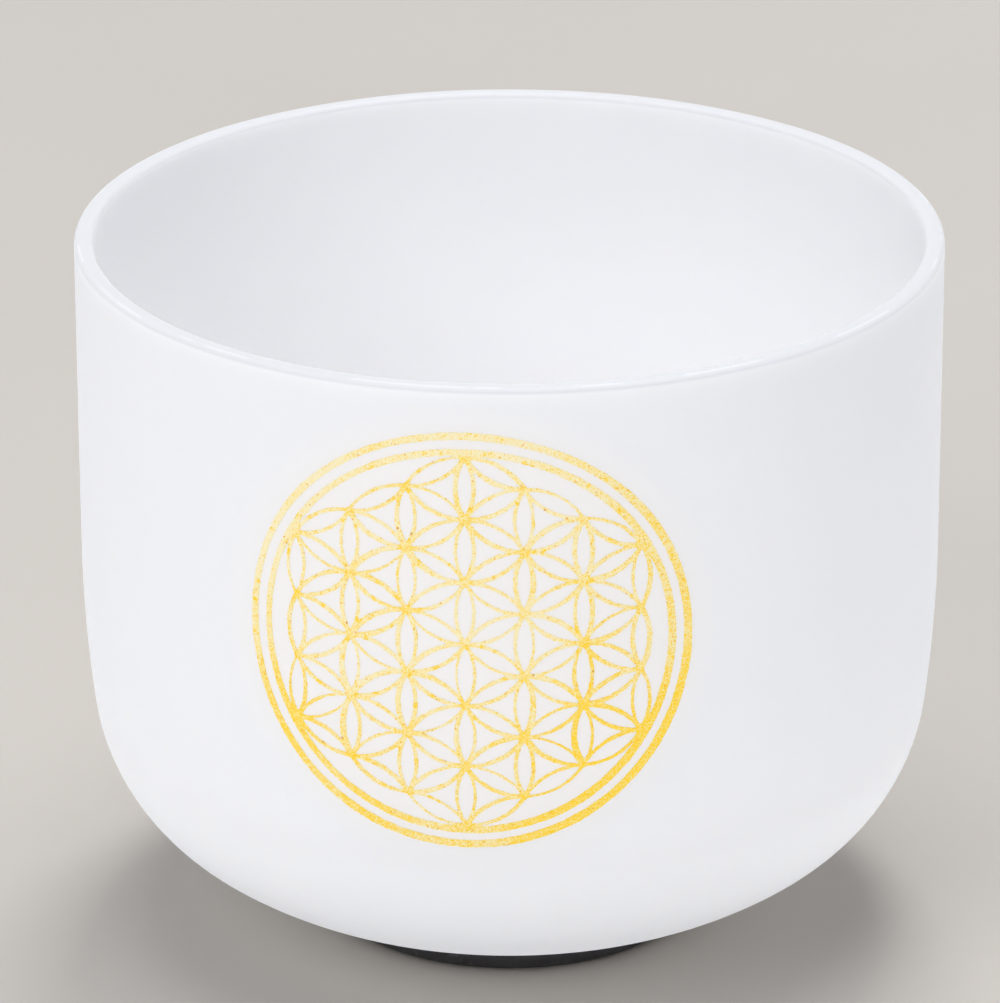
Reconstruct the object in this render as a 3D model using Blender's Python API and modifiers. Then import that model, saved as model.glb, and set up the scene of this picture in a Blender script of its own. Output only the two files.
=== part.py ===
"""Frosted quartz singing bowl standing on its rubber O-ring, with a gilded rosette on the front of its wall.

Metres, +Z up. The origin is the foot of the bowl's axis, on the surface that the
O-ring rests on, and the rosette faces -Y.
"""

import math

import bmesh
import bpy
from mathutils import Vector

# ---- driving dimensions (metres, degrees) ----
OUTER_RADIUS = 0.127  # 10 inch bowl
BOWL_HEIGHT = 0.208  # outside of the dome to the top of the lip
WALL = 0.0058  # one thickness all over; the lip is a half round of it

# The side is straight at the top. Below that it runs through arcs that meet
# tangentially: (radius, angle from vertical at which the arc ends, facets).
# A last arc, the dome, closes the bottom on the axis.
WALL_ARCS = ((0.4077, 6.8, 3), (0.0599, 53.4, 6), (0.1062, 81.5, 3))
DOME_FACETS = 2
LIP_FACETS = 6
BOWL_STEPS = 72

RING_RADIUS = 0.0533  # centre line of the O-ring
RING_SECTION = 0.0043  # section radius of the rubber cord
RING_SQUASH = 0.00015  # how far the load flattens the cord's underside
RING_FACETS = 15  # round the cord, without its flat
RING_STEPS = 56
RING_CLEARANCE = 0.0003  # between the cord and the dome

# The rosette: circles on a hexagonal grid, inside two plain border rings.
GRID_PITCH = 0.0188  # circle radius, and distance between circle centres
GRID_CELLS = 3  # circles from the middle to a corner of the hexagon
GRID_STRETCH = 1.02  # the film is laid on slightly wide
STROKE = 0.0012  # width of the lines
INNER_BORDER = (3.020 * GRID_PITCH, 3.145 * GRID_PITCH)  # inside and outside radius
OUTER_BORDER = (3.265 * GRID_PITCH, 3.400 * GRID_PITCH)
ROSETTE_HEIGHT = 0.1359  # centre of the rosette above the table
FILM_THICKNESS = 0.0003
FILM_CLEARANCE = 0.00025  # between the film's back and the quartz
PETAL_FACETS = 4  # of each long side of a petal, and each scallop of an edge cell
TRIANGLE_FACETS = PETAL_FACETS - 1  # of each side of a hollow triangle
EDGE_CELL_FACETS = 10  # of an edge cell's side along the border ring
BORDER_FACETS = 72

# Mesh tolerances
TURN_MERGE = 0.00001  # joins a turned piece's seam and its points on the axis
FILM_MERGE = 0.000005  # joins the film's faces to its edges
FILM_SHARP_ANGLE = 40  # film edges that turn more than this stay sharp
LEVEL_NORMAL = 0.5  # a flat film face with more upright a normal is front or back


# ---- the bowl's side line ----
def dome_radius():
    """Radius of the last arc, which is centred on the axis."""
    reach, angle = OUTER_RADIUS, 0.0
    for arc_radius, end_degrees, _ in WALL_ARCS:
        end = math.radians(end_degrees)
        reach += arc_radius * (math.cos(end) - math.cos(angle))
        angle = end
    return reach / math.cos(angle)


DOME_RADIUS = dome_radius()
ALL_ARCS = WALL_ARCS + ((DOME_RADIUS, 90.0, DOME_FACETS),)


def curved_depth():
    """Height from the dome's outside up to the end of the straight wall."""
    depth, angle = 0.0, 0.0
    for arc_radius, end_degrees, _ in ALL_ARCS:
        end = math.radians(end_degrees)
        depth += arc_radius * (math.sin(end) - math.sin(angle))
        angle = end
    return depth


# Heights above the table. The dome rests on the cord, but for the clearance.
RING_CENTRE_Z = RING_SECTION - RING_SQUASH
DOME_Z = (
    RING_CENTRE_Z
    + math.sqrt((DOME_RADIUS + RING_SECTION + RING_CLEARANCE) ** 2 - RING_RADIUS**2)
    - DOME_RADIUS
)
RIM_Z = DOME_Z + BOWL_HEIGHT
STRAIGHT_Z = DOME_Z + curved_depth()  # lower end of the straight wall


def side_line(inset):
    """(radius, height) points from the end of the straight wall down to the axis,
    on the surface that lies inset inside the bowl's outside."""
    arc_x, arc_z, start = OUTER_RADIUS - inset, STRAIGHT_Z, 0.0
    points = [(arc_x, arc_z)]
    for arc_radius, end_degrees, facets in ALL_ARCS:
        end = math.radians(end_degrees)
        for i in range(1, facets + 1):
            angle = start + (end - start) * i / facets
            points.append(
                (
                    arc_x + (arc_radius - inset) * (math.cos(angle) - math.cos(start)),
                    arc_z - (arc_radius - inset) * (math.sin(angle) - math.sin(start)),
                )
            )
        arc_x, arc_z = points[-1]
        start = end
    points[-1] = (0.0, arc_z)  # exactly on the axis
    return points


# ---- materials and turned pieces ----
def material(name, colour, roughness, metallic=0.0):
    made = bpy.data.materials.new(name)
    made.use_nodes = True
    shader = made.node_tree.nodes["Principled BSDF"]
    shader.inputs["Base Color"].default_value = (*colour, 1.0)
    shader.inputs["Roughness"].default_value = roughness
    shader.inputs["Metallic"].default_value = metallic
    return made


def gold(name):
    return material(name, colour=(0.93, 0.66, 0.16), roughness=0.42, metallic=0.6)


def turned(name, profile, closed, steps, collection, surface):
    """A profile in the XZ plane, turned about Z with a Screw modifier."""
    mesh = bpy.data.meshes.new(name)
    edges = [(i, i + 1) for i in range(len(profile) - 1)]
    if closed:
        edges.append((len(profile) - 1, 0))
    mesh.from_pydata([(x, 0.0, z) for x, z in profile], edges, [])
    mesh.materials.append(surface)
    made = bpy.data.objects.new(name, mesh)
    collection.objects.link(made)
    screw = made.modifiers.new("turn", "SCREW")
    screw.axis = "Z"
    screw.angle = math.tau
    screw.steps = steps
    screw.render_steps = steps
    screw.use_merge_vertices = True
    screw.merge_threshold = TURN_MERGE
    screw.use_smooth_shade = True
    return made


# ---- plane geometry of the rosette, flat, about its own centre ----
def direction(angle):
    return Vector((math.cos(angle), math.sin(angle)))


def arc(centre, radius, start, end, facets):
    """Points on a circle from start to end, the short way round."""
    first = math.atan2(start.y - centre.y, start.x - centre.x)
    last = math.atan2(end.y - centre.y, end.x - centre.x)
    turn = (last - first + math.pi) % math.tau - math.pi
    return [
        centre + radius * direction(first + turn * k / facets)
        for k in range(facets + 1)
    ]


def circle(radius):
    return [
        radius * direction(math.tau * k / BORDER_FACETS) for k in range(BORDER_FACETS)
    ]


def meet(centre_a, radius_a, centre_b, radius_b, near):
    """The crossing of two circles that lies nearer to a point."""
    gap = (centre_b - centre_a).length
    along = (radius_a * radius_a - radius_b * radius_b + gap * gap) / (2 * gap)
    across = math.sqrt(radius_a * radius_a - along * along)
    way = (centre_b - centre_a) / gap
    side = Vector((-way.y, way.x))
    both = [centre_a + along * way + sign * across * side for sign in (1, -1)]
    return min(both, key=lambda crossing: (crossing - near).length)


# ---- outlines of the rosette ----
def grid_points():
    """Circle centres, by their two grid indices: the points of a hexagon with
    corners above and below."""
    points = {}
    for i in range(-GRID_CELLS, GRID_CELLS + 1):
        for j in range(-GRID_CELLS, GRID_CELLS + 1):
            if abs(i + j) <= GRID_CELLS:
                x = i * math.sqrt(3) / 2 * GRID_PITCH
                y = (j + i / 2) * GRID_PITCH
                points[(i, j)] = Vector((x, y))
    return points


def petal(start, end):
    """The lens between two neighbouring grid points, inside its two lines."""
    middle, way = (start + end) / 2, (end - start).normalized()
    side = Vector((-way.y, way.x)) * GRID_PITCH * math.sqrt(3) / 2
    radius = GRID_PITCH - STROKE / 2
    half = math.sqrt(radius**2 - side.length_squared)
    tips = middle - half * way, middle + half * way
    there = arc(middle + side, radius, tips[0], tips[1], PETAL_FACETS)
    back = arc(middle - side, radius, tips[1], tips[0], PETAL_FACETS)
    return there[:-1] + back[:-1]


def hollow_triangle(*corners):
    """The three-cornered gap between three petals, whose sides all bow inwards."""
    radius = GRID_PITCH + STROKE / 2
    total = corners[0] + corners[1] + corners[2]
    middle = total / 3
    centres = [total - 2 * corner for corner in corners]
    tips = [meet(centres[k - 1], radius, centres[k], radius, middle) for k in range(3)]
    outline = []
    for k in range(3):
        start, end = tips[k], tips[(k + 1) % 3]
        outline += arc(centres[k], radius, start, end, TRIANGLE_FACETS)[:-1]
    return outline


def edge_cell(corner, step, inward):
    """The gap between one side of the hexagon and the border ring."""
    radius, border_radius = GRID_PITCH + STROKE / 2, INNER_BORDER[0]
    points = [corner + step * k for k in range(GRID_CELLS + 1)]
    centres = [points[k] + inward for k in range(GRID_CELLS)]
    origin = Vector((0.0, 0.0))
    # the cell's corners: on the border, between each two scallops, on the border
    marks = [meet(centres[0], radius, origin, border_radius, points[1])]
    for k in range(1, GRID_CELLS):
        near = points[k] - inward
        marks.append(meet(centres[k - 1], radius, centres[k], radius, near))
    marks.append(meet(centres[-1], radius, origin, border_radius, points[-2]))
    outline = []
    for k in range(GRID_CELLS):
        outline += arc(centres[k], radius, marks[k], marks[k + 1], PETAL_FACETS)[:-1]
    return outline + arc(origin, border_radius, marks[-1], marks[0], EDGE_CELL_FACETS)[:-1]


def rosette_outlines():
    """The inner border's outside, then every hole in it."""
    grid = grid_points()
    outlines = [circle(INNER_BORDER[1])]
    for (i, j), here in grid.items():
        for di, dj in ((1, 0), (0, 1), (1, -1)):
            neighbour = grid.get((i + di, j + dj))
            if neighbour is not None:
                outlines.append(petal(here, neighbour))
        for steps in (((1, 0), (0, 1)), ((1, 0), (1, -1))):
            others = [grid.get((i + di, j + dj)) for di, dj in steps]
            if None not in others:
                outlines.append(hollow_triangle(here, *others))
    for side in range(6):
        angle = math.radians(90 + 60 * side)
        corner = GRID_CELLS * GRID_PITCH * direction(angle)
        step = GRID_PITCH * direction(angle + math.radians(120))
        inward = GRID_PITCH * direction(angle + math.radians(180))
        outlines.append(edge_cell(corner, step, inward))
    return outlines


# ---- the gilded film ----
def on_wall(x, y, lift):
    """Where a point of the flat film lies on the bowl, at a height lift above the quartz."""
    arc_radius = WALL_ARCS[0][0]
    below = STRAIGHT_Z - (ROSETTE_HEIGHT + y)
    if below <= 0:
        reach, z, lean = OUTER_RADIUS, ROSETTE_HEIGHT + y, 0.0
    else:
        lean = below / arc_radius
        reach = OUTER_RADIUS - arc_radius * (1 - math.cos(lean))
        z = STRAIGHT_Z - arc_radius * math.sin(lean)
    turn = x * GRID_STRETCH / reach
    reach, z = reach + lift * math.cos(lean), z - lift * math.sin(lean)
    return Vector((reach * math.sin(turn), -reach * math.cos(turn), z))


def flat_film(name, outlines, collection):
    """Mesh of an outline with holes, filled and thickened about Z = 0."""
    curve = bpy.data.curves.new(name + "_outline", "CURVE")
    curve.dimensions = "2D"
    curve.fill_mode = "BOTH"
    curve.extrude = FILM_THICKNESS / 2
    for outline in outlines:
        spline = curve.splines.new("POLY")
        spline.points.add(len(outline) - 1)
        for point, place in zip(spline.points, outline):
            point.co = (place.x, place.y, 0.0, 1.0)
        spline.use_cyclic_u = True
    guide = bpy.data.objects.new(name + "_outline", curve)
    collection.objects.link(guide)
    bpy.context.view_layer.update()
    solid = guide.evaluated_get(bpy.context.evaluated_depsgraph_get())
    mesh = bpy.data.meshes.new_from_object(solid)
    bpy.data.objects.remove(guide)
    mesh.name = name
    return mesh


def wrap_film(mesh):
    """Evens out the flat film's triangles and bends it round the wall."""
    work = bmesh.new()
    work.from_mesh(mesh)
    bmesh.ops.remove_doubles(work, verts=work.verts, dist=FILM_MERGE)
    # short triangles, so that the film follows the wall when it is wrapped
    caps = [face for face in work.faces if abs(face.normal.z) > LEVEL_NORMAL]
    inner = {edge for face in caps for edge in face.edges if len(edge.link_faces) == 2}
    inner = [
        edge
        for edge in inner
        if all(abs(face.normal.z) > LEVEL_NORMAL for face in edge.link_faces)
    ]
    bmesh.ops.beautify_fill(work, faces=caps, edges=inner)
    for vert in work.verts:
        lift = FILM_CLEARANCE + FILM_THICKNESS / 2 + vert.co.z
        vert.co = on_wall(vert.co.x, vert.co.y, lift)
    bmesh.ops.recalc_face_normals(work, faces=work.faces)
    work.to_mesh(mesh)
    work.free()


def film(name, outlines, collection, surface):
    """A piece of film with the given outline and holes, laid on the wall."""
    mesh = flat_film(name, outlines, collection)
    wrap_film(mesh)
    mesh.materials.clear()
    mesh.materials.append(surface)
    mesh.shade_smooth()
    mesh.set_sharp_from_angle(angle=math.radians(FILM_SHARP_ANGLE))
    made = bpy.data.objects.new(name, mesh)
    collection.objects.link(made)
    return made


# ---- the pieces ----
def quartz_bowl(collection):
    """Turned from a line up the inside, over the lip and down the outside."""
    lip_radius = WALL / 2
    lip_x, lip_z = OUTER_RADIUS - lip_radius, RIM_Z - lip_radius
    lip = []
    for k in range(LIP_FACETS + 1):
        angle = math.pi * k / LIP_FACETS
        lip.append(
            (lip_x - lip_radius * math.cos(angle), lip_z + lip_radius * math.sin(angle))
        )
    profile = side_line(WALL)[::-1] + lip + side_line(0.0)
    quartz = material("frosted_quartz", colour=(0.86, 0.87, 0.89), roughness=0.55)
    return turned("quartz_bowl", profile, False, BOWL_STEPS, collection, quartz)


def rubber_o_ring(collection):
    """A round cord whose underside is flattened on the table."""
    slack = math.acos(RING_CENTRE_Z / RING_SECTION)  # half the angle of the flat
    cord = []
    for k in range(RING_FACETS + 1):
        angle = math.radians(270) - slack - (math.tau - 2 * slack) * k / RING_FACETS
        x = RING_RADIUS + RING_SECTION * math.cos(angle)
        z = RING_CENTRE_Z + RING_SECTION * math.sin(angle)
        cord.append((x, z))
    # both ends of the flat lie exactly on the table
    for end in (0, -1):
        cord[end] = (cord[end][0], 0.0)
    rubber = material("black_rubber", colour=(0.03, 0.028, 0.028), roughness=0.7)
    return turned("rubber_o_ring", cord, True, RING_STEPS, collection, rubber)


def gold_lattice(collection):
    """The lattice with its own border."""
    surface = gold("gold_film_lines")
    return film("gold_lattice", rosette_outlines(), collection, surface)


def gold_outer_border(collection):
    """The plain ring round the lattice."""
    inside, outside = OUTER_BORDER
    surface = gold("gold_film_border")
    return film("gold_outer_border", [circle(outside), circle(inside)], collection, surface)


def bowl_lift(collection, pieces):
    """An empty at the foot of the bowl's axis, carrying what lifts off the O-ring."""
    lift_off = bpy.data.objects.new("bowl_lift", None)
    lift_off.empty_display_size = 0.05
    collection.objects.link(lift_off)
    for piece in pieces:
        piece.parent = lift_off


# ---- build ----
for old in list(bpy.data.objects):
    bpy.data.objects.remove(old)
bowl_parts = bpy.data.collections.new("singing_bowl")
bpy.context.scene.collection.children.link(bowl_parts)

bowl = quartz_bowl(bowl_parts)
rubber_o_ring(bowl_parts)
lattice = gold_lattice(bowl_parts)
border = gold_outer_border(bowl_parts)
bowl_lift(bowl_parts, (bowl, lattice, border))
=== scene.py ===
import math

import bpy
import numpy as np
from mathutils import Matrix, Vector
from mathutils.geometry import delaunay_2d_cdt


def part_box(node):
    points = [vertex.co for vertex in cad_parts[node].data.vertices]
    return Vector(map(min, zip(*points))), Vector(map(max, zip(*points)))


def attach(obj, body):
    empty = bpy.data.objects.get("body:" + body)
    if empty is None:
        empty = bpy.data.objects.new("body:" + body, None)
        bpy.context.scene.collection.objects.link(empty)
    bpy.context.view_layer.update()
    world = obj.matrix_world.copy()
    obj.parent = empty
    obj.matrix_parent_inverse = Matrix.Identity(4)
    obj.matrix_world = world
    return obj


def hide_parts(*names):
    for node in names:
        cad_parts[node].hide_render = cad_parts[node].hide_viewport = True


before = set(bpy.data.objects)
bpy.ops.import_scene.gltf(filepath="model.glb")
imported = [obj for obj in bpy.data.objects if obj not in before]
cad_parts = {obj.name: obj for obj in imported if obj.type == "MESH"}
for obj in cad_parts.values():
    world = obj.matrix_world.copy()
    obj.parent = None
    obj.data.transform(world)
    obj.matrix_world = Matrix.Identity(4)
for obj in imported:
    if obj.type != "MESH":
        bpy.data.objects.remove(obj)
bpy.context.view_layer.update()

# A frosted quartz singing bowl on a rubber O-ring, with a gold rosette printed on its wall:
# fine surfaces for its four pieces, their materials, and a plain studio.
# Metres, +Z up. The bowl's axis is Z, the floor is z = 0 and the rosette faces -Y.

# ---- bowl and ring, from the frame ----
BOWL_LOW, BOWL_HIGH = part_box("quartz_bowl")
RING_LOW, RING_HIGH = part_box("rubber_o_ring")
_, BORDER_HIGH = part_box("gold_outer_border")
OUTER_RADIUS = BOWL_HIGH.x
RIM_Z = BOWL_HIGH.z
DOME_Z = BOWL_LOW.z
WALL = 0.0058

# arcs of the side below the straight wall: radius, angle from vertical at the end in degrees
WALL_ARCS = ((0.4077, 6.8), (0.0599, 53.4), (0.1062, 81.5))

RING_SECTION = (RING_HIGH.z - RING_LOW.z) / 2  # radius of the rubber itself
RING_RADIUS = RING_HIGH.x - RING_SECTION

# slow waves round the axis: amplitude, waves per turn, phase, phase per metre of height
WALL_WAVES = ((0.00007, 2, 0.7, 0.0), (0.00005, 3, -1.1, 9.0), (0.00003, 7, 2.0, -17.0))
LIP_WAVES = ((0.00009, 1, 2.2, 0.0), (0.00006, 4, 0.4, 0.0), (0.00003, 11, 1.3, 0.0))
RING_WAVES = ((0.00003, 5, 0.4, 0.0), (0.00002, 13, 0.0, 0.0))
LIP_SINK = 0.00018  # keeps the highest wave of the lip at the rim height

# ---- rosette, in millimetres on the flat, x to the right and y up ----
PITCH = 18.8  # side of the triangles in the grid of crossings
CELLS = 3  # grid steps from the middle to a corner of the hexagon
INNER_BORDER = (3.020 * PITCH, 3.145 * PITCH)  # inner and outer radius
OUTER_BORDER = (3.265 * PITCH, 3.400 * PITCH)
STRETCH = 1.02  # widening round the wall

ROSETTE_HEIGHT = BORDER_HIGH.z - OUTER_BORDER[1] / 1000  # its middle, in metres
FILM_LIFT = 0.00003
FILM_THICKNESS = 0.00006


# ---- side line of the bowl ----
def dome_radius():
    """Radius of the last arc, which meets the axis level."""
    r, angle = OUTER_RADIUS, 0.0
    for radius, end in WALL_ARCS:
        r += radius * (math.cos(math.radians(end)) - math.cos(angle))
        angle = math.radians(end)
    return r / math.cos(angle)


ALL_ARCS = WALL_ARCS + ((dome_radius(), 90.0),)


def curved_depth():
    """Height taken up by all the arcs."""
    depth, angle = 0.0, 0.0
    for radius, end in ALL_ARCS:
        depth += radius * (math.sin(math.radians(end)) - math.sin(angle))
        angle = math.radians(end)
    return depth


STRAIGHT_Z = DOME_Z + curved_depth()  # where the straight wall ends


def side_line(inset, step):
    """(radius, height) points from the end of the straight wall down to the axis."""
    r, z, start = OUTER_RADIUS - inset, STRAIGHT_Z, 0.0
    points = [(r, z)]
    for radius, end_degrees in ALL_ARCS:
        end = math.radians(end_degrees)
        count = max(3, math.ceil(radius * (end - start) / step))
        for i in range(1, count + 1):
            angle = start + (end - start) * i / count
            points.append(
                (
                    r + (radius - inset) * (math.cos(angle) - math.cos(start)),
                    z - (radius - inset) * (math.sin(angle) - math.sin(start)),
                )
            )
        r, z = points[-1]
        start = end
    points[-1] = (0.0, points[-1][1])
    return points


def smooth(t):
    t = np.clip(t, 0.0, 1.0)
    return t * t * (3 - 2 * t)


def ripple(turn, waves, z=0.0):
    return sum(
        amplitude * np.sin(count * turn + phase + twist * z)
        for amplitude, count, phase, twist in waves
    )


def unevenness(turn, z):
    """Radial offset of a wall that isn't quite round. It dies out towards the dome."""
    fade_start, fade_height = 0.03, 0.06
    return ripple(turn, WALL_WAVES, z) * smooth((z - fade_start) / fade_height)


# ---- surfaces turned about the axis ----
def round_axis(radius, turn, z):
    """Points at angles turn, counted from the front (-Y) towards +X."""
    z = np.broadcast_to(z, turn.shape)
    return np.stack([radius * np.sin(turn), -radius * np.cos(turn), z], axis=1)


def grid_mesh(name, rows, closed_rows):
    """A closed surface from rows of points. The first and last rows may be single points on
    the axis; with closed_rows the last row joins the first."""
    count = len(rows[1])
    verts, starts = [], []
    for row in rows:
        starts.append(len(verts))
        verts.extend(map(tuple, row))
    faces = []
    total = len(rows)
    for k in range(total if closed_rows else total - 1):
        after = (k + 1) % total
        a, b = starts[k], starts[after]
        for i in range(count):
            j = (i + 1) % count
            if len(rows[k]) == 1:
                faces.append((a, b + j, b + i))
            elif len(rows[after]) == 1:
                faces.append((a + i, a + j, b))
            else:
                faces.append((a + i, a + j, b + j, b + i))
    # every face looks outwards
    points = np.array(verts)
    volume = 0.0
    for face in faces:
        a, b, c = points[face[0]], points[face[1]], points[face[2]]
        volume += np.dot(a, np.cross(b, c))
        if len(face) == 4:
            volume += np.dot(a, np.cross(c, points[face[3]]))
    if volume < 0:
        faces = [face[::-1] for face in faces]
    mesh = bpy.data.meshes.new(name)
    mesh.from_pydata(verts, [], faces)
    mesh.validate()
    mesh.shade_smooth()
    return mesh


def lip_line(top_z, steps=20, squareness=0.66):
    """A ground lip from the inside to the outside: flat on top, with well rounded edges."""
    points = []
    for k in range(steps + 1):
        angle = math.pi * k / steps
        c, s = math.cos(angle), math.sin(angle)
        across = math.copysign(abs(c) ** squareness, c)
        up = s**squareness
        points.append((OUTER_RADIUS - WALL / 2 - WALL / 2 * across, top_z + WALL / 2 * up))
    return points


def bowl_mesh():
    segments, wall_rows, step = 320, 26, 0.0035
    lip_reach = 0.012  # how far below the rim the lip's waves are felt
    top_z = RIM_Z - WALL / 2
    rise = [
        STRAIGHT_Z + (top_z - STRAIGHT_Z) * k / wall_rows for k in range(1, wall_rows)
    ]
    # from the inside's centre, over the lip, to the outside's centre
    profile = side_line(WALL, step)[::-1]
    profile += [(OUTER_RADIUS - WALL, z) for z in rise]
    profile += lip_line(top_z)
    profile += [(OUTER_RADIUS, z) for z in rise[::-1]]
    profile += side_line(0.0, step)
    turn = np.arange(segments) * math.tau / segments
    lip_drop = ripple(turn, LIP_WAVES) - LIP_SINK
    rows = []
    for r, z in profile:
        if r < 1e-6:
            rows.append(np.array([[0.0, 0.0, z]]))
            continue
        radius = r + unevenness(turn, z) * r / OUTER_RADIUS
        near_lip = smooth((z - (RIM_Z - lip_reach)) / lip_reach)
        rows.append(round_axis(radius, turn, z + near_lip * lip_drop))
    return grid_mesh("quartz_bowl_surface", rows, closed_rows=False)


def ring_mesh():
    segments, around = 240, 40
    slack = 0.28  # half the angle of the section's flat foot
    shrink = 0.00013
    flash_height, flash_spread, flash_end = 0.00012, 0.035, 0.12
    centre_z = RING_SECTION + RING_LOW.z
    turn = np.arange(segments) * math.tau / segments
    rows = []
    for k in range(around):
        angle = math.radians(-90) + slack + (math.tau - 2 * slack) * k / (around - 1)
        c, s = math.cos(angle), math.sin(angle)
        radius = RING_SECTION - shrink
        # the fine flash line that the mould leaves round the inside and the outside
        if abs(s) < flash_end:
            radius += flash_height * math.exp(-((s / flash_spread) ** 2))
        r = RING_RADIUS + radius * c + ripple(turn, RING_WAVES)
        rows.append(round_axis(r, turn, max(centre_z + radius * s, RING_LOW.z)))
    for row in (rows[0], rows[-1]):
        row[:, 2] = RING_LOW.z
    return grid_mesh("rubber_o_ring_surface", rows, closed_rows=True)


# ---- rosette: fields that are negative inside the film, in millimetres ----
BLEND = 0.11  # how softly lines run into each other
FOOT_RADIUS = 1.5
# random ranges for each line
END_HALF_WIDTH = (0.37, 0.71)
BELLY = (-0.10, 0.08)  # added half width midway
SWELL_CHANCE, SWELL = 0.20, (0.20, 0.40)  # added half width at one end
SHIFT = (-0.12, 0.12)  # added radius midway
# rough edges, as of metal dust in a brushed medium: depth and feature size, coarse after fine
EDGE_NOISE = ((0.10, 0.85), (0.06, 2.6))


def grid_noise(xs, ys, cell, seed):
    """Smooth noise between -1 and 1 over a grid, with features about cell wide."""
    draws = np.random.RandomState(seed)
    x, y = (xs - xs[0]) / cell, (ys - ys[0]) / cell
    table = draws.uniform(-1, 1, (int(y[-1]) + 3, int(x[-1]) + 3))
    xi, yi = x.astype(int), y.astype(int)
    fx, fy = smooth(x - xi)[None, :], smooth(y - yi)[:, None]
    a = table[np.ix_(yi, xi)]
    b = table[np.ix_(yi, xi + 1)]
    c = table[np.ix_(yi + 1, xi)]
    d = table[np.ix_(yi + 1, xi + 1)]
    return (a * (1 - fx) + b * fx) * (1 - fy) + (c * (1 - fx) + d * fx) * fy


def edge_noise(xs, ys, seed):
    return sum(
        depth * grid_noise(xs, ys, cell, seed + i)
        for i, (depth, cell) in enumerate(EDGE_NOISE)
    )


def petals():
    """(tip, tip) pairs of neighbouring grid points of the hexagon."""
    points = {}
    for i in range(-CELLS, CELLS + 1):
        for j in range(-CELLS, CELLS + 1):
            if abs(i + j) <= CELLS:
                points[(i, j)] = np.array(
                    [i * math.sqrt(3) / 2 * PITCH, (j + i / 2) * PITCH]
                )
    for (i, j), tip in sorted(points.items()):
        for di, dj in ((1, 0), (0, 1), (1, -1)):
            other = points.get((i + di, j + dj))
            if other is not None:
                yield tip, other


def add_line(total, xs, ys, tips, centre, draws):
    """Adds one arc about centre, from tip to tip, with a line of uneven width."""
    first, last = draws.uniform(*END_HALF_WIDTH, 2)
    belly = draws.uniform(*BELLY)
    if draws.uniform() < SWELL_CHANCE:
        first += draws.uniform(*SWELL)
    shift = draws.uniform(*SHIFT)

    # the part of the grid that the line can reach
    reach = 2.2
    low = np.minimum(*tips) - reach - PITCH * 0.15
    high = np.maximum(*tips) + reach + PITCH * 0.15
    i0, i1 = np.searchsorted(xs, (low[0], high[0]))
    j0, j1 = np.searchsorted(ys, (low[1], high[1]))
    x, y = np.meshgrid(xs[i0:i1] - centre[0], ys[j0:j1] - centre[1])

    from_a, from_b = tips[0] - centre, tips[1] - centre
    start = math.atan2(from_a[1], from_a[0])
    sweep = (math.atan2(from_b[1], from_b[0]) - start + math.pi) % math.tau - math.pi
    along = (np.arctan2(y, x) - start + math.pi) % math.tau - math.pi
    t = np.clip(along / sweep, 0, 1)
    angle = start + t * sweep
    bow = PITCH + shift * np.sin(math.pi * t)
    away = np.hypot(x - bow * np.cos(angle), y - bow * np.sin(angle))
    half = first + (last - first) * smooth(t) + belly * np.sin(math.pi * t)
    total[j0:j1, i0:i1] += np.exp(-(away - half) / BLEND)


def border_field(x, y, ring, phase):
    """A ring whose line is thickest at its lower right."""
    angle = np.arctan2(y, x)
    heavy = np.cos(angle + math.radians(40))
    middle = (ring[0] + ring[1]) / 2 + 0.05 * np.sin(3 * angle + phase)
    half = (ring[1] - ring[0]) / 2 * (0.90 + 0.10 * heavy) + 0.04 * np.sin(
        7 * angle + 1.7 + phase
    )
    return np.abs(np.hypot(x, y) - middle) - half


def lattice_field(xs, ys):
    """Two arcs to every petal and the inner border, blended where they meet."""
    total = np.zeros((len(ys), len(xs)))
    draws = np.random.RandomState(11)
    for a, b in petals():
        middle, way = (a + b) / 2, (b - a) / np.linalg.norm(b - a)
        side = np.array([-way[1], way[0]]) * PITCH * math.sqrt(3) / 2
        for hand in (1, -1):
            add_line(total, xs, ys, (a, b), middle + hand * side, draws)
    x, y = np.meshgrid(xs, ys)
    total += np.exp(-border_field(x, y, INNER_BORDER, 0.0) / BLEND)
    # thick feet where the six corners of the lattice run into the border
    for k in range(6):
        angle = math.radians(90 + 60 * k)
        corner = CELLS * PITCH * np.array([math.cos(angle), math.sin(angle)])
        away = np.hypot(x - corner[0], y - corner[1])
        total += np.exp(-(away - FOOT_RADIUS) / BLEND)
    return -BLEND * np.log(total + 1e-30) + edge_noise(xs, ys, seed=3)


def outer_field(xs, ys):
    x, y = np.meshgrid(xs, ys)
    return border_field(x, y, OUTER_BORDER, 1.9) + edge_noise(xs, ys, seed=5)


# ---- outlines of a field ----
# The sides of a grid square that the outline joins, S at low y and W at low x. The key adds
# up the corners inside the film: 1 south-west, 2 south-east, 4 north-east, 8 north-west.
JOINED = {
    1: "WS", 2: "SE", 3: "WE", 4: "EN", 6: "SN", 7: "WN",
    8: "NW", 9: "NS", 11: "NE", 12: "EW", 13: "ES", 14: "SW",
}


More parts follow.
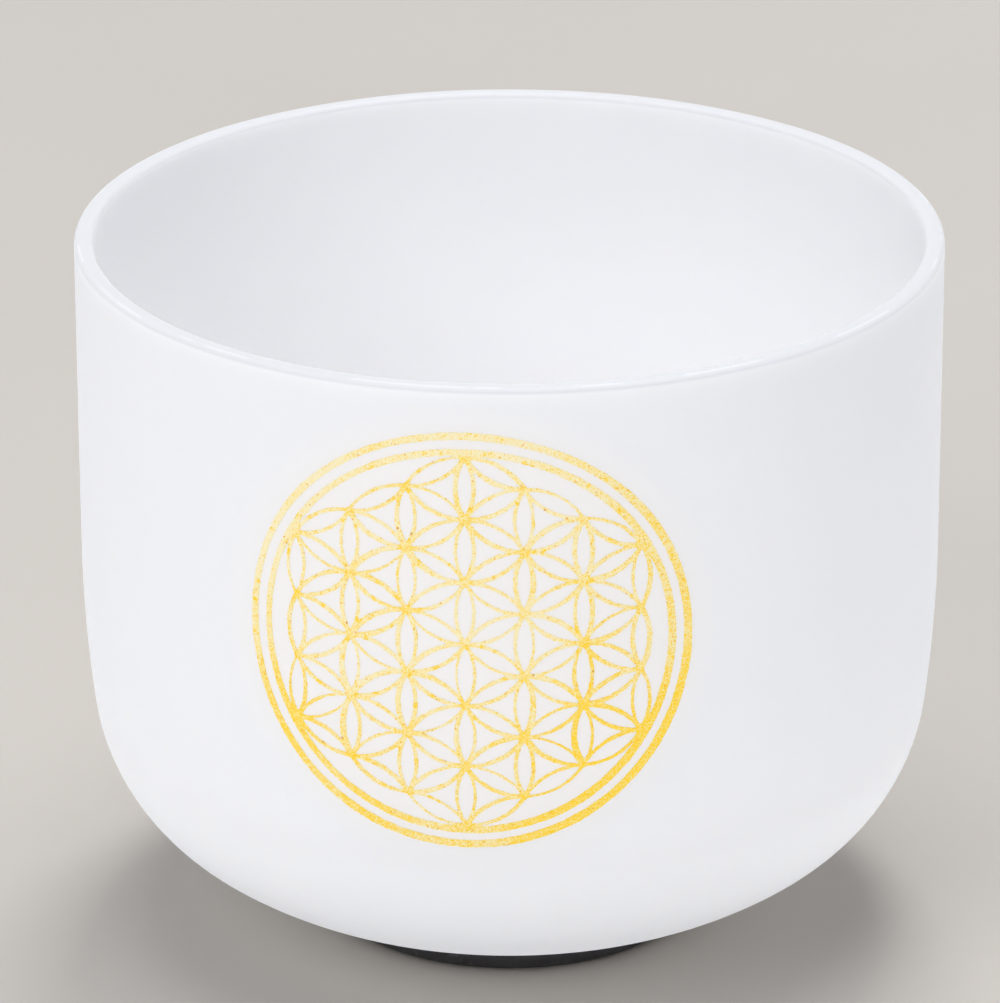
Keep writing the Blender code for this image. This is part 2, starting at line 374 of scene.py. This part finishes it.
def contour(field, xs, ys):
    """Closed loops of points along the zero line of a field, by marching squares."""
    spots, points, links = {}, [], {}

    def crossing(j, i, dj, di):
        """Index of the point on the grid edge from (j, i) to (j + dj, i + di)."""
        key = (j, i, dj, di)
        if key not in spots:
            spots[key] = len(points)
            a, b = field[j, i], field[j + dj, i + di]
            t = min(max(a / (a - b), 0.02), 0.98)
            points.append(
                (xs[i] + t * (xs[i + di] - xs[i]), ys[j] + t * (ys[j + dj] - ys[j]))
            )
        return spots[key]

    corner = (field < 0).astype(np.int8)
    case = (
        corner[:-1, :-1]
        + 2 * corner[:-1, 1:]
        + 4 * corner[1:, 1:]
        + 8 * corner[1:, :-1]
    )
    for j, i in zip(*np.nonzero((case > 0) & (case < 15))):
        c = int(case[j, i])
        if c in (5, 10):
            # opposite corners inside: the middle decides which of them are connected
            middle = field[j : j + 2, i : i + 2].mean() < 0
            pairs = ("SE", "WN") if (c == 5) == middle else ("SW", "EN")
        else:
            pairs = (JOINED[c],)
        sides = {"S": (j, i, 0, 1), "N": (j + 1, i, 0, 1), "W": (j, i, 1, 0), "E": (j, i + 1, 1, 0)}
        for one, other in pairs:
            a, b = crossing(*sides[one]), crossing(*sides[other])
            links.setdefault(a, []).append(b)
            links.setdefault(b, []).append(a)

    loops, seen = [], set()
    for start in range(len(points)):
        if start in seen:
            continue
        loop, here, before = [], start, None
        while here not in seen:
            seen.add(here)
            loop.append(points[here])
            ahead = [p for p in links[here] if p != before and p not in seen]
            before = here
            if not ahead:
                break
            here = ahead[0]
        if len(loop) > 2:
            loops.append(np.array(loop))
    return loops


def area(loop):
    x, y = loop[:, 0], loop[:, 1]
    return abs(np.dot(x, np.roll(y, -1)) - np.dot(y, np.roll(x, -1))) / 2


def thin_out(loop, tolerance, longest=3.0):
    """Fewer points along a loop, none further than tolerance from the line that is left.
    Lines above the longest length are split as long as there are points to split them at."""
    n = len(loop)
    far = int(np.argmax(np.hypot(*(loop - loop[0]).T)))
    keep = {0, far}
    stack = [(0, far), (far, n)]
    closed = np.vstack([loop, loop[:1]])
    while stack:
        a, b = stack.pop()
        if b - a < 2:
            continue
        way = closed[b] - closed[a]
        length = math.hypot(*way)
        between = closed[a + 1 : b] - closed[a]
        if length < 1e-9:
            away = np.hypot(*between.T)
        else:
            away = np.abs(between[:, 0] * way[1] - between[:, 1] * way[0]) / length
        k = int(np.argmax(away))
        if away[k] > tolerance or length > longest:
            if away[k] <= tolerance:
                k = (b - a) // 2 - 1
            split = a + 1 + k
            keep.add(split)
            stack += [(a, split), (split, b)]
    return loop[sorted(keep)]


def film_loops(field_of, radius):
    """Outlines of one film, without specks too small to be made."""
    step, margin, speck_area, tolerance = 0.25, 1.5, 0.12, 0.014
    half_size = radius + margin
    xs = np.linspace(-half_size, half_size, int(2 * half_size / step) + 1)
    loops = contour(field_of(xs, xs), xs, xs)
    return [thin_out(loop, tolerance) for loop in loops if area(loop) > speck_area]


# ---- film meshes ----
def face_edges(face):
    return zip(face, [*face[1:], face[0]])


def fill(loops):
    """Points and triangles of the area between closed loops that don't cross."""
    verts, edges = [], []
    for loop in loops:
        start, count = len(verts), len(loop)
        verts += [Vector(p) for p in loop]
        edges += [(start + k, start + (k + 1) % count) for k in range(count)]
    points, _, faces, _, _, _ = delaunay_2d_cdt(verts, edges, [], 0, 1e-6)
    points = np.array([tuple(p) for p in points])
    if len(points) != len(verts):
        raise ValueError("the outline of the film crosses itself")
    fence = {frozenset(e) for e in edges}
    owners = {}
    for f, face in enumerate(faces):
        for edge in face_edges(face):
            owners.setdefault(frozenset(edge), []).append(f)
    # from the outermost triangles inwards, every loop crossed turns film on or off
    is_film, stack = {}, []
    for edge, owned_by in owners.items():
        if len(owned_by) == 1 and owned_by[0] not in is_film:
            is_film[owned_by[0]] = edge in fence
            stack.append(owned_by[0])
    while stack:
        f = stack.pop()
        for pair in face_edges(faces[f]):
            edge = frozenset(pair)
            for g in owners[edge]:
                if g not in is_film:
                    is_film[g] = is_film[f] != (edge in fence)
                    stack.append(g)
    return points, [face for f, face in enumerate(faces) if is_film[f]], edges


def on_wall(x, y, lift):
    """Flat film points laid on the bowl's outside, at a height lift above it."""
    x, y = x / 1000, y / 1000
    arc = WALL_ARCS[0][0]
    below = np.maximum(STRAIGHT_Z - (ROSETTE_HEIGHT + y), 0.0)
    lean = below / arc
    r = OUTER_RADIUS - arc * (1 - np.cos(lean))
    z = np.where(below <= 0, ROSETTE_HEIGHT + y, STRAIGHT_Z - arc * np.sin(lean))
    turn = x * STRETCH / r
    r = r + unevenness(turn, z) * r / OUTER_RADIUS
    return round_axis(r + lift * np.cos(lean), turn, z - lift * np.sin(lean))


def crossing_closeness(x, y, reach=1.9):
    """1 at a crossing of the lines, falling to 0 away from it."""
    hubs = np.array([tip for pair in petals() for tip in pair])
    near = np.full(len(x), 1e9)
    for hub in np.unique(np.round(hubs, 6), axis=0):
        near = np.minimum(near, np.hypot(x - hub[0], y - hub[1]))
    return np.exp(-((near / reach) ** 2))


def film_mesh(name, loops):
    """A thin closed sheet on the wall, with its edges."""
    points, faces, edges = fill(loops)
    count = len(points)
    x, y = points[:, 0], points[:, 1]
    top = on_wall(x, y, FILM_LIFT + FILM_THICKNESS)
    bottom = on_wall(x, y, FILM_LIFT)
    polygons = []
    outward = set()
    for face in faces:
        a, b, c = (points[i] for i in face)
        if (b[0] - a[0]) * (c[1] - a[1]) - (b[1] - a[1]) * (c[0] - a[0]) < 0:
            face = face[::-1]
        polygons.append(tuple(face))
        polygons.append(tuple(i + count for i in face[::-1]))
        outward.update(face_edges(face))
    for a, b in edges:
        if (a, b) not in outward:
            a, b = b, a
        polygons.append((b, a, a + count, b + count))
    mesh = bpy.data.meshes.new(name)
    mesh.from_pydata([tuple(v) for v in np.vstack([top, bottom])], [], polygons)
    mesh.validate()
    mesh.shade_smooth()
    mesh.set_sharp_from_angle(angle=math.radians(45))
    # where each point lies on the flat, in metres, for the material
    flat = np.zeros((2 * count, 3))
    flat[:, :2] = np.vstack([points, points]) / 1000
    place = mesh.attributes.new("flat", "FLOAT_VECTOR", "POINT")
    place.data.foreach_set("vector", flat.ravel().astype(np.float32))
    # how close each point is to a crossing of the lines, where more metal gathers
    close = crossing_closeness(x, y)
    crossing = mesh.attributes.new("crossing", "FLOAT", "POINT")
    crossing.data.foreach_set("value", np.concatenate([close, close]).astype(np.float32))
    return mesh


# ---- node helpers ----
class Nodes:
    """A short way to write a material's node tree. Values may be numbers or sockets."""

    def __init__(self, name):
        self.material = bpy.data.materials.new(name)
        self.material.use_nodes = True
        self.tree = self.material.node_tree
        self.tree.nodes.clear()
        self.out = self.add("ShaderNodeOutputMaterial")

    def add(self, kind, **settings):
        node = self.tree.nodes.new(kind)
        for key, value in settings.items():
            setattr(node, key, value)
        return node

    def put(self, socket, value):
        if isinstance(value, bpy.types.NodeSocket):
            self.tree.links.new(value, socket)
        elif isinstance(value, tuple) and socket.type == "RGBA":
            socket.default_value = (*value, 1.0)
        else:
            socket.default_value = value

    def fill_in(self, node, values):
        for key, value in values.items():
            self.put(node.inputs[key], value)

    def coordinates(self, output):
        return self.add("ShaderNodeTexCoord").outputs[output]

    def attribute(self, name, output):
        return self.add("ShaderNodeAttribute", attribute_name=name).outputs[output]

    def parts(self, vector):
        node = self.add("ShaderNodeSeparateXYZ")
        self.put(node.inputs[0], vector)
        return node.outputs

    def math(self, operation, a, b=0.0):
        node = self.add("ShaderNodeMath", operation=operation)
        for socket, value in zip(node.inputs, (a, b, 0.0)):
            self.put(socket, value)
        return node.outputs[0]

    def plus(self, a, b):
        return self.math("ADD", a, b)

    def minus(self, a, b):
        return self.math("SUBTRACT", a, b)

    def times(self, value, by):
        return self.math("MULTIPLY", value, by)

    def inverse(self, mask):
        return self.minus(1.0, mask)

    def centred(self, value):
        return self.minus(value, 0.5)

    def length(self, x, y):
        return self.math("SQRT", self.plus(self.times(x, x), self.times(y, y)))

    def noise(self, vector, scale, detail=2.0, rough=0.5):
        node = self.add("ShaderNodeTexNoise")
        values = {"Vector": vector, "Scale": scale, "Detail": detail, "Roughness": rough}
        self.fill_in(node, values)
        return node.outputs["Fac"]

    def cells(self, vector, scale):
        """Distance to the nearest of many scattered points."""
        node = self.add("ShaderNodeTexVoronoi")
        self.fill_in(node, {"Vector": vector, "Scale": scale})
        return node.outputs["Distance"]

    def span(self, value, low, high, to_low=0.0, to_high=1.0, kind="SMOOTHSTEP"):
        """to_low up to the value low, to_high from the value high on."""
        node = self.add("ShaderNodeMapRange", interpolation_type=kind, clamp=True)
        ends = {"From Min": low, "From Max": high, "To Min": to_low, "To Max": to_high}
        self.fill_in(node, {"Value": value, **ends})
        return node.outputs["Result"]

    def fade(self, value, low, high):
        return self.span(value, low, high, to_low=1.0, to_high=0.0)

    def mix(self, mask, under, over, amount=None):
        """over laid on under where the mask is 1, at most by amount."""
        if amount is not None:
            mask = self.times(mask, by=amount)
        node = self.add("ShaderNodeMix", data_type="RGBA")
        self.fill_in(node, {0: mask, 6: under, 7: over})
        return node.outputs[2]

    def bump(self, height, strength, distance, normal=None):
        node = self.add("ShaderNodeBump")
        self.fill_in(node, {"Height": height, "Strength": strength, "Distance": distance})
        if normal is not None:
            self.put(node.inputs["Normal"], normal)
        return node.outputs["Normal"]

    def finish(self, inputs):
        """Ends the tree in a Principled shader and returns the material."""
        shader = self.add("ShaderNodeBsdfPrincipled", subsurface_method="RANDOM_WALK")
        self.fill_in(shader, inputs)
        self.put(self.out.inputs["Surface"], shader.outputs[0])
        return self.material


def srgb(r, g, b):
    def one(c):
        c /= 255
        return c / 12.92 if c <= 0.04045 else ((c + 0.055) / 1.055) ** 2.4

    return (one(r), one(g), one(b))


# ---- materials ----
def quartz_material():
    """Milky fused quartz: sandy and matt outside, smoother inside, with a ground lip."""
    n = Nodes("frosted_quartz_look")
    place = n.coordinates("Object")
    x, y, z = n.parts(place)
    radius = n.length(x, y)
    lip = n.span(z, low=RIM_Z - 0.0042, high=RIM_Z - 0.0026)
    inner = n.fade(radius, low=OUTER_RADIUS - WALL * 0.7, high=OUTER_RADIUS - WALL * 0.3)
    inner = n.times(inner, n.span(z, low=0.055, high=0.075))

    cloud = n.noise(place, scale=14.0, detail=3.0, rough=0.55)
    grain = n.noise(place, scale=900.0, rough=0.6)
    sugar = n.cells(place, scale=1500.0)
    pits = n.fade(n.cells(place, scale=260.0), low=0.0, high=0.16)
    few = n.span(n.noise(place, scale=60.0, detail=1.0), low=0.58, high=0.66)
    pits = n.times(pits, few)

    # white with a breath of blue; the inside is painted light, lighter and more neutral, against
    # the shade and blue tint it gets between the walls
    cloud = n.span(cloud, low=0.35, high=0.65)
    colour = n.mix(cloud, under=(0.905, 0.915, 0.93), over=(0.925, 0.93, 0.94))
    colour = n.mix(inner, colour, over=(0.945, 0.939, 0.944), amount=0.7)
    # painted shade: greyer inside, deeper down
    painted_deep_shade = n.times(inner, n.fade(z, low=0.105, high=0.165))
    colour = n.mix(painted_deep_shade, colour, over=(0.893, 0.888, 0.892), amount=0.9)
    # painted shade: the ground lip is darkened most where it faces up, so it looks no brighter than
    # the wall; the ground glass is a little greyer too
    upward = n.parts(n.coordinates("Normal"))[2]
    shaded_ground_lip = n.plus(
        n.span(upward, low=0.05, high=0.45, to_high=0.57),
        n.span(upward, low=0.55, high=1.0, to_high=0.43, kind="LINEAR"),
    )
    shaded_ground_lip = n.times(shaded_ground_lip, n.span(z, low=RIM_Z - 0.0045, high=RIM_Z - 0.0020))
    colour = n.mix(shaded_ground_lip, colour, over=(0.585, 0.592, 0.605))
    # a painted glint: a thin bright line, broken here and there, near the lip's outer edge
    edge = n.times(
        n.span(radius, low=OUTER_RADIUS - 0.0018, high=OUTER_RADIUS - 0.0014),
        n.fade(radius, low=OUTER_RADIUS - 0.0012, high=OUTER_RADIUS - 0.0008),
    )
    broken = n.span(n.noise(place, scale=55.0), low=0.48, high=0.56)
    edge = n.times(n.times(edge, shaded_ground_lip), broken)
    colour = n.mix(edge, colour, over=(0.93, 0.935, 0.94), amount=0.20)
    # painted light under and round the rosette: brighter, against the shade where the film keeps
    # light out of the wall, and faintly warm where the film's clear medium lies
    turn = n.math("ARCTAN2", x, n.times(y, by=-1.0))
    across = n.times(turn, by=OUTER_RADIUS / STRETCH)
    up = n.minus(z, ROSETTE_HEIGHT)
    reach = n.length(across, up)
    front = n.math("LESS_THAN", y, 0.0)
    border_inside, border_outside = OUTER_BORDER[0] / 1000, OUTER_BORDER[1] / 1000
    painted_light_disc = n.fade(reach, low=border_inside, high=border_outside)
    painted_light_disc = n.times(n.times(painted_light_disc, front), n.inverse(inner))
    print_area = n.fade(reach, low=border_outside + 0.001, high=border_outside + 0.012)
    print_area = n.times(print_area, front)
    painted_light_round_print = n.times(print_area, n.inverse(inner))
    colour = n.mix(painted_light_round_print, colour, over=(0.972, 0.958, 0.945))
    colour = n.mix(painted_light_disc, colour, over=(0.990, 0.963, 0.936), amount=0.95)
    # painted light: brighter low down, round the foot
    underside = n.fade(upward, low=0.0, high=0.15)
    foot = n.times(n.fade(z, low=0.012, high=0.040), underside)
    colour = n.mix(foot, colour, over=(0.985, 0.985, 0.99), amount=0.8)
    # pits hold a little dust
    colour = n.mix(pits, colour, over=(0.72, 0.72, 0.72), amount=0.10)

    least_rough, lip_rough = 0.50, 0.44
    rough = n.plus(least_rough, n.times(grain, by=0.16))
    rough = n.minus(rough, n.times(inner, by=0.14))
    rough = n.plus(n.times(rough, n.inverse(lip)), n.times(lip, by=lip_rough))

    # sandy relief, fainter on the inside and nearly gone at the lip
    height = n.plus(n.times(grain, by=0.6), n.times(sugar, by=0.5))
    height = n.minus(height, n.times(pits, by=0.8))
    strength = n.times(
        n.inverse(n.times(lip, by=0.93)),
        n.inverse(n.times(inner, by=0.6)),
    )
    fine = n.bump(height, strength=n.times(strength, by=0.30), distance=0.00012)
    swell = n.noise(place, scale=32.0)
    wave = n.bump(swell, strength=0.12, distance=0.0006, normal=fine)

    # painted light: a faint glow round the foot, for daylight that has come down through the glass
    glow = n.plus(
        n.span(z, low=0.004, high=0.034, to_low=0.09, to_high=0.0),
        n.span(z, low=0.014, high=0.031, to_low=0.115, to_high=0.0),
    )
    return n.finish(
        {
            "Base Color": colour,
            "Roughness": rough,
            "Normal": wave,
            "IOR": 1.46,
            "Specular IOR Level": n.minus(0.5, n.times(shaded_ground_lip, by=0.42)),
            # less light wanders inside the wall under and round the film
            "Subsurface Weight": n.minus(0.55, n.times(print_area, by=0.47)),
            "Subsurface Radius": (1.0, 1.06, 1.12),
            "Subsurface Scale": 0.006,
            "Emission Color": (1.0, 0.99, 1.0),
            "Emission Strength": n.times(glow, underside),
        }
    )


# where more or less metal lies: x and y in rosette radii, reach, added load
METAL_SPOTS = (
    (0.70, -0.64, 0.58, 0.275),  # lower right
    (-0.88, -0.48, 0.40, 0.18),  # lower left
    (-0.35, 0.80, 0.60, 0.08),  # upper left
    (0.98, 0.62, 0.42, -0.085),  # upper right
    (0.85, -0.06, 0.32, -0.07),  # right
    (0.20, -0.06, 0.35, -0.06),  # middle
    (0.00, -1.25, 0.70, -0.19),  # bottom
)


def metal_load(n, flat, across, up, drift, ring, on_border):
    """How much metal lies where, about 0.5 on the whole."""

    def squared_gap(coordinate, centre):
        return n.math("POWER", n.math("ABSOLUTE", n.minus(coordinate, centre)), 2.0)

    middle_load = 0.45
    load = n.plus(drift, n.plus(middle_load, n.times(n.times(ring, ring), by=0.095)))
    for spot_x, spot_y, reach, more in METAL_SPOTS:
        squared = n.plus(squared_gap(across, spot_x), squared_gap(up, spot_y))
        away = n.math("SQRT", squared)
        load = n.plus(load, n.span(away, low=0.05, high=reach, to_low=more, to_high=0.0))
    # the two borders lie a little thinner at the upper left and thicker at the lower right
    load = n.plus(load, n.times(n.times(drift, on_border), by=1.4))
    cloud = n.centred(n.noise(flat, scale=42.0, rough=0.6))
    load = n.plus(load, n.times(cloud, by=0.50))
    load = n.plus(load, n.times(n.attribute("crossing", "Fac"), by=0.20))
    # and here and there a cluster of grains
    cluster = n.noise(flat, scale=340.0, detail=1.0)
    return n.plus(load, n.span(cluster, low=0.60, high=0.76, to_high=0.42))


def gold_material():
    """Gold dust in a clear medium: pale where it lies thin, deep yellow where it pools, with
    scattered darker grains."""
    n = Nodes("gold_film_look")
    flat = n.attribute("flat", "Vector")
    x, y, _ = n.parts(flat)

    size = OUTER_BORDER[1] / 1000
    across, up = n.times(x, by=1 / size), n.times(y, by=1 / size)
    # a little less metal towards the top left
    drift = n.minus(n.times(across, by=0.045), n.times(up, by=0.08))
    ring = n.length(across, up)
    on_border = n.span(ring, low=0.86, high=0.90)
    load = metal_load(n, flat, across, up, drift, ring, on_border)

    grain = n.noise(flat, scale=1900.0, rough=0.7)
    clump = n.noise(flat, scale=620.0, detail=1.0)
    dust = n.plus(n.times(grain, by=0.84), n.times(clump, by=0.16))
    # grains of metal cover more of the medium where more of it lies
    most_extra = 0.050
    extra = n.math("MINIMUM", n.times(n.centred(load), by=0.34), most_extra)
    covered = n.span(n.plus(dust, extra), low=0.49, high=0.59)
    shade = n.plus(load, n.times(n.centred(clump), by=0.5))
    medium = n.mix(
        n.span(shade, low=0.30, high=0.80),
        under=srgb(254, 243, 200),
        over=srgb(255, 234, 142),
    )
    metal = n.mix(
        n.span(load, low=0.40, high=0.85),
        under=srgb(251, 213, 82),
        over=srgb(255, 209, 2),
    )
    colour = n.mix(covered, under=medium, over=metal)

    # scattered orange grains
    orange = n.fade(n.cells(flat, scale=640.0), low=0.12, high=0.24)
    some = n.span(n.noise(flat, scale=260.0, detail=1.0), low=0.48, high=0.58)
    orange = n.times(orange, some)
    colour = n.mix(orange, colour, over=srgb(232, 176, 22), amount=0.8)
    # and a few brown ones, more of them at the top of the borders
    brown = n.fade(n.cells(flat, scale=230.0), low=0.06, high=0.12)
    border_top = n.times(on_border, n.span(up, low=0.1, high=0.8, to_high=0.13))
    rare = n.plus(n.noise(flat, scale=75.0, detail=1.0), border_top)
    brown = n.times(brown, n.span(rare, low=0.56, high=0.63))
    colour = n.mix(brown, colour, over=srgb(204, 146, 12), amount=0.8)

    height = n.minus(n.plus(grain, n.times(orange, by=0.6)), n.times(brown, by=-0.8))
    return n.finish(
        {
            "Base Color": colour,
            "Metallic": n.span(covered, low=0.0, high=1.0, to_low=0.04, to_high=0.28),
            "Roughness": n.span(grain, low=0.3, high=0.7, to_low=0.34, to_high=0.56),
            "Normal": n.bump(height, strength=0.30, distance=0.00008),
            "Specular IOR Level": 0.16,
            # painted light: a faint glow for the extra light that the flakes throw back, more than
            # a plain paint would
            "Emission Color": n.mix(0.5, colour, over=srgb(255, 212, 40)),
            "Emission Strength": n.span(
                covered, low=0.0, high=1.0, to_low=0.04, to_high=0.10
            ),
        }
    )


def rubber_material():
    """Black rubber with a slightly grey, dusty skin."""
    n = Nodes("black_rubber_look")
    place = n.coordinates("Object")
    z = n.parts(place)[2]
    mottle = n.noise(place, scale=70.0, detail=4.0, rough=0.6)
    fine = n.noise(place, scale=1400.0, detail=3.0, rough=0.6)
    patches = n.span(mottle, low=0.4, high=0.7)
    colour = n.mix(patches, under=(0.018, 0.017, 0.018), over=(0.034, 0.032, 0.033))
    dust = n.span(n.noise(place, scale=420.0, detail=3.0, rough=0.7), low=0.56, high=0.72)
    colour = n.mix(dust, colour, over=(0.16, 0.15, 0.145), amount=0.35)
    foot = n.span(z, low=0.0, high=0.0022, to_low=0.30, to_high=0.0)
    colour = n.mix(foot, colour, over=(0.12, 0.11, 0.10))
    return n.finish(
        {
            "Base Color": colour,
            "Roughness": n.span(mottle, low=0.3, high=0.7, to_low=0.48, to_high=0.72),
            "Normal": n.bump(fine, strength=0.35, distance=0.00010),
            "IOR": 1.5,
        }
    )


def floor_material():
    """Pale matt paper. It gives the bowl more light than the camera sees in it, as a lit
    table would."""
    n = Nodes("pale_floor")
    place = n.coordinates("Object")
    cloud = n.span(n.noise(place, scale=1.6, detail=3.0), low=0.35, high=0.65)
    shown = n.mix(cloud, under=(0.486, 0.458, 0.420), over=(0.506, 0.478, 0.440))
    direct = n.add("ShaderNodeLightPath").outputs["Is Camera Ray"]
    colour = n.mix(direct, under=(0.834, 0.825, 0.812), over=shown)
    return n.finish({"Base Color": colour, "Roughness": 0.85, "Specular IOR Level": 0.2})


# ---- the pieces ----
def add_object(name, data):
    made = bpy.data.objects.new(name, data)
    bpy.context.scene.collection.objects.link(made)
    return made


def add_piece(mesh, material, body, node):
    """A new piece on its body, in place of its plain CAD node."""
    made = add_object(mesh.name, mesh)
    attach(made, body)
    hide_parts(node)
    mesh.materials.append(material)


add_piece(bowl_mesh(), quartz_material(), "bowl", "quartz_bowl")
add_piece(ring_mesh(), rubber_material(), "ring", "rubber_o_ring")
gold = gold_material()
for name, field_of, radius, node in (
    ("gold_lattice_film", lattice_field, INNER_BORDER[1], "gold_lattice"),
    ("gold_border_film", outer_field, OUTER_BORDER[1], "gold_outer_border"),
):
    add_piece(film_mesh(name, film_loops(field_of, radius)), gold, "bowl", node)


# ---- plain studio ----
def floor_mesh():
    """A wide flat floor that curves up into a pale wall far away."""
    segments, bend_steps = 96, 12
    flat_radius, bend, wall_top = 5.0, 2.5, 6.0
    profile = [(0.4, 0.0), (1.5, 0.0), (flat_radius, 0.0)]
    for k in range(1, bend_steps + 1):
        angle = math.radians(90) * k / bend_steps
        profile.append((flat_radius + bend * math.sin(angle), bend - bend * math.cos(angle)))
    profile.append((flat_radius + bend, wall_top))
    turn = np.arange(segments) * math.tau / segments
    verts = [(0.0, 0.0, 0.0)]
    for r, z in profile:
        verts += [(r * math.cos(t), r * math.sin(t), z) for t in turn]
    faces = [(0, 1 + i, 1 + (i + 1) % segments) for i in range(segments)]
    for k in range(len(profile) - 1):
        a, b = 1 + k * segments, 1 + (k + 1) * segments
        for i in range(segments):
            j = (i + 1) % segments
            faces.append((a + i, b + i, b + j, a + j))
    mesh = bpy.data.meshes.new("floor")
    mesh.from_pydata(verts, [], faces)
    mesh.shade_smooth()
    return mesh


floor = add_object("floor", floor_mesh())
floor.data.materials.append(floor_material())

# a soft sun from behind and above, a key from the front left, and weak fills:
# name, place, height of the target on the axis, width, height, watts, colour
WHITE, WARM = (1.0, 0.995, 0.985), (1.0, 0.99, 0.98)
SOFTBOXES = (
    ("back", (0.2, 1.5, 3.2), 0.2, 1.0, 0.7, 48.0, WHITE),
    ("top", (0.0, 0.0, 3.0), 0.1, 1.8, 1.8, 43.0, WHITE),
    ("key", (-1.5, -2.45, 2.2), 0.1, 1.8, 1.8, 27.2, WHITE),
    ("low_front", (0.35, -2.3, 0.22), 0.05, 1.8, 0.36, 2.1, WARM),
    ("right", (2.7, -0.6, 1.3), 0.1, 1.6, 1.6, 4.4, WARM),
)


def add_softbox(name, place, target_z, width, height, power, colour):
    light = bpy.data.lights.new(name, "AREA")
    light.shape = "RECTANGLE"
    light.size, light.size_y = width, height
    light.energy = power
    light.color = colour
    made = add_object(name, light)
    made.location = place
    made.rotation_mode = "QUATERNION"
    way = Vector((0, 0, target_z)) - Vector(place)
    made.rotation_quaternion = way.to_track_quat("-Z", "Y")
    made.visible_camera = False


for softbox in SOFTBOXES:
    add_softbox(*softbox)

scene = bpy.context.scene
world = bpy.data.worlds.new("studio")
scene.world = world
world.use_nodes = True
backdrop = world.node_tree.nodes["Background"]
backdrop.inputs["Color"].default_value = (0.93, 0.97, 1.10, 1.0)
backdrop.inputs["Strength"].default_value = 0.47

scene.view_settings.view_transform = "Standard"
scene.view_settings.look = "None"
scene.view_settings.exposure = 0.0
scene.view_settings.gamma = 1.0


# ---- camera ----
def add_camera():
    """In front of the bowl, a little to the right and above the rim, looking down at it."""
    side = 0.0993  # angle round the axis from the front, towards +X, in radians
    away, above = 1.9586, 0.7220  # from the axis and over the rim
    pitch, yaw, roll = 0.3912, -0.0015, -0.0021  # radians, pitch downwards

    data = bpy.data.cameras.new("camera")
    data.lens = 256.6
    data.sensor_width = 36.0
    data.sensor_fit = "AUTO"
    data.clip_start, data.clip_end = 0.05, 60.0
    camera = add_object("camera", data)

    about = Matrix.Rotation(side, 3, "Z")
    level = math.cos(pitch)
    ahead = about @ Vector((math.sin(yaw) * level, math.cos(yaw) * level, -math.sin(pitch)))
    right = about @ Vector((math.cos(yaw), -math.sin(yaw), 0.0))
    top = right.cross(ahead)
    x_axis = math.cos(roll) * right + math.sin(roll) * top
    y_axis = -math.sin(roll) * right + math.cos(roll) * top
    turned = Matrix((x_axis, y_axis, -ahead)).transposed().to_4x4()
    place = (away * math.sin(side), -away * math.cos(side), RIM_Z + above)
    camera.matrix_world = Matrix.Translation(place) @ turned
    scene.camera = camera


add_camera()
